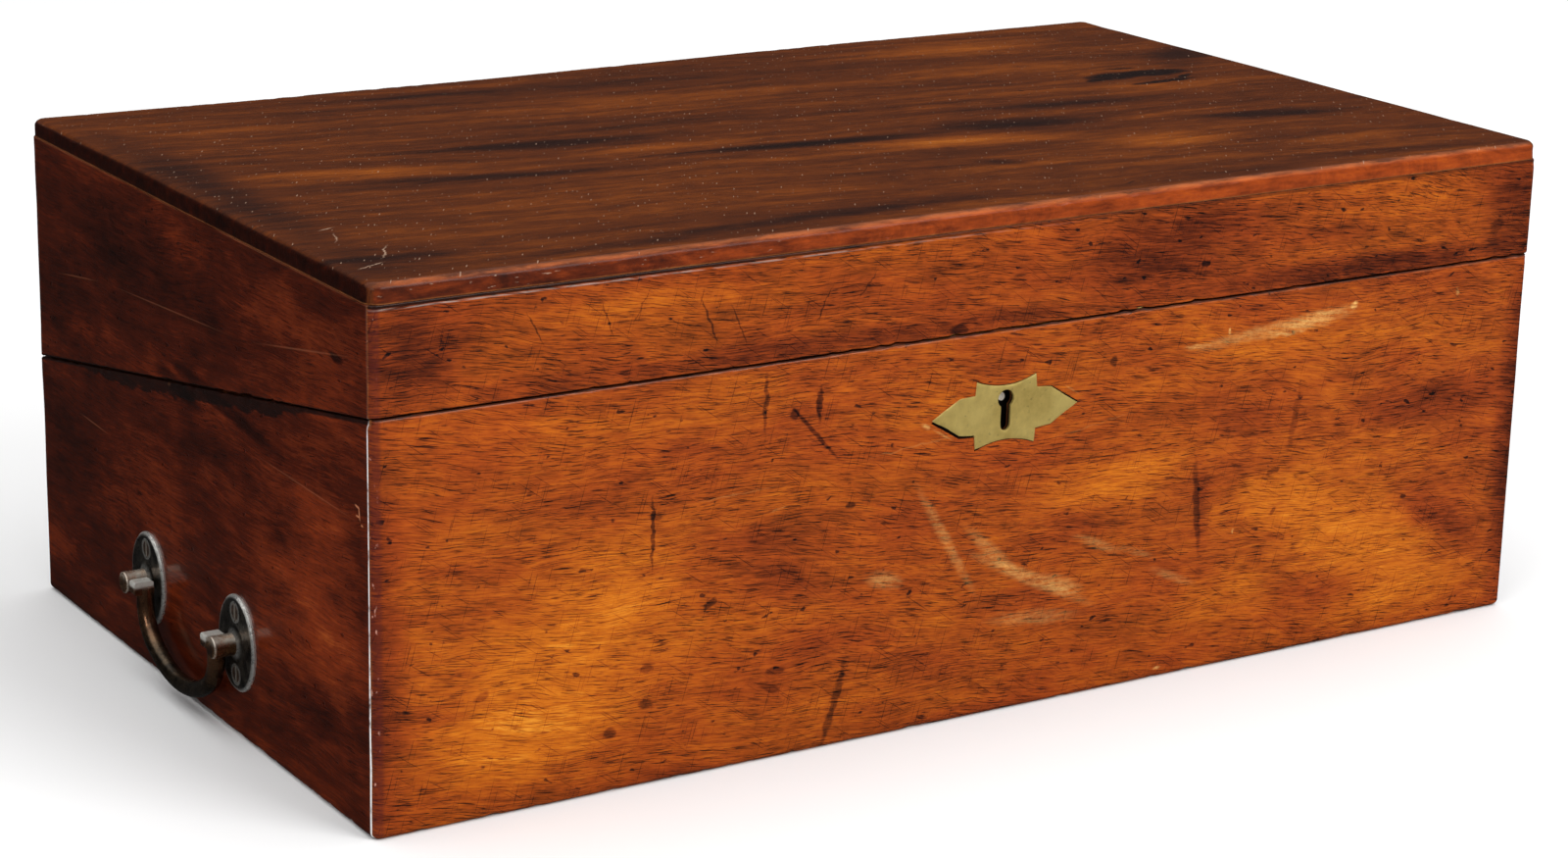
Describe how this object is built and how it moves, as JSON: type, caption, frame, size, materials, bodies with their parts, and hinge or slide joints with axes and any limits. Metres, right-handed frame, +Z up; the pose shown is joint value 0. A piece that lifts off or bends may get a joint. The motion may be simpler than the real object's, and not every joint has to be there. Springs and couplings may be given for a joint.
{
  "type": "writing slope",
  "caption": "Mahogany writing slope: a slant-sawn box whose lid hinges over to make a sloping writing surface, with a lock, brass star escutcheon and two drop handles.",
  "frame": {"origin": "centre of the underside", "axes": "+X to the right along the lock face, +Y from the lock face to the hinge face, +Z up"},
  "size_m": [0.522, 0.2979, 0.19],
  "materials": {
    "front_mahogany": "worn shellac over figured mahogany",
    "side_mahogany": "dark polished shellac",
    "top_mahogany": "dark worn shellac with ribbon figure",
    "inner_mahogany": "waxed",
    "bottom_pine": "bare aged pine",
    "fitting_brass": "dull aged brass",
    "handle_brass": "dark patinated brass",
    "lock_steel": "dark worn iron",
    "leather": "aged writing leather with a tooled border"
  },
  "bodies": {
    "base": {"base_front": "front_mahogany", "base_back": "side_mahogany", "base_left_side": "side_mahogany", "base_right_side": "side_mahogany", "base_bottom": "bottom_pine", "pen_partition": "inner_mahogany", "pen_tray": "inner_mahogany", "left_ink_well_divider": "inner_mahogany", "right_ink_well_divider": "inner_mahogany", "left_ink_well_floor": "inner_mahogany", "right_ink_well_floor": "inner_mahogany", "base_left_ledger": "inner_mahogany", "base_right_ledger": "inner_mahogany", "base_flap": "inner_mahogany", "base_flap_leather": "leather", "escutcheon": "fitting_brass", "lock_case": "lock_steel", "lock_selvedge": "fitting_brass", "lock_pin": "lock_steel", "lock_spring": "lock_steel", "lock_screws": "lock_steel", "left_base_hinge_leaf": "fitting_brass", "right_base_hinge_leaf": "fitting_brass", "left_hinge_pin": "lock_steel", "right_hinge_pin": "lock_steel", "left_base_hinge_screws": "fitting_brass", "right_base_hinge_screws": "fitting_brass", "left_front_backplate": "handle_brass", "left_rear_backplate": "handle_brass", "right_front_backplate": "handle_brass", "right_rear_backplate": "handle_brass", "left_front_post": "handle_brass", "left_rear_post": "handle_brass", "right_front_post": "handle_brass", "right_rear_post": "handle_brass", "left_handle_screws": "handle_brass", "right_handle_screws": "handle_brass"},
    "lid": {"lid_top": "top_mahogany", "lid_front": "front_mahogany", "lid_back": "side_mahogany", "lid_left_side": "side_mahogany", "lid_right_side": "side_mahogany", "lid_left_ledger": "inner_mahogany", "lid_right_ledger": "inner_mahogany", "lid_flap_rail": "inner_mahogany", "lid_flap": "inner_mahogany", "lid_flap_leather": "leather", "link_plate": "fitting_brass", "link_plate_screws": "fitting_brass", "left_lid_hinge_leaf": "fitting_brass", "right_lid_hinge_leaf": "fitting_brass", "left_lid_hinge_screws": "fitting_brass", "right_lid_hinge_screws": "fitting_brass", "turn_button_screw": "fitting_brass"},
    "left_handle": {"left_bail": "handle_brass"},
    "right_handle": {"right_bail": "handle_brass"},
    "bolt": {"lock_bolt": "lock_steel"},
    "button": {"flap_turn_button": "fitting_brass"}
  },
  "joints": [
    {"name": "lid_hinge", "type": "hinge", "parent": "base", "child": "lid", "pos_m": [0, 0.1478, 0.095], "axis": [-1, 0, 0], "range_deg": [0, 180]},
    {"name": "left_bail_hinge", "type": "hinge", "parent": "base", "child": "left_handle", "pos_m": [-0.2554, 0, 0.036], "axis": [0, 1, 0], "range_deg": [0, 95]},
    {"name": "right_bail_hinge", "type": "hinge", "parent": "base", "child": "right_handle", "pos_m": [0.2554, 0, 0.036], "axis": [0, -1, 0], "range_deg": [0, 95]},
    {"name": "lock_bolt_slide", "type": "slide", "parent": "base", "child": "bolt", "axis": [1, 0, 0], "range_m": [0, 0.004]},
    {"name": "flap_button_turn", "type": "hinge", "parent": "lid", "child": "button", "pos_m": [0.06, -0.14247, 0.1446], "axis": [0, -0.1669, -0.986], "range_deg": [0, 90]}
  ]
}
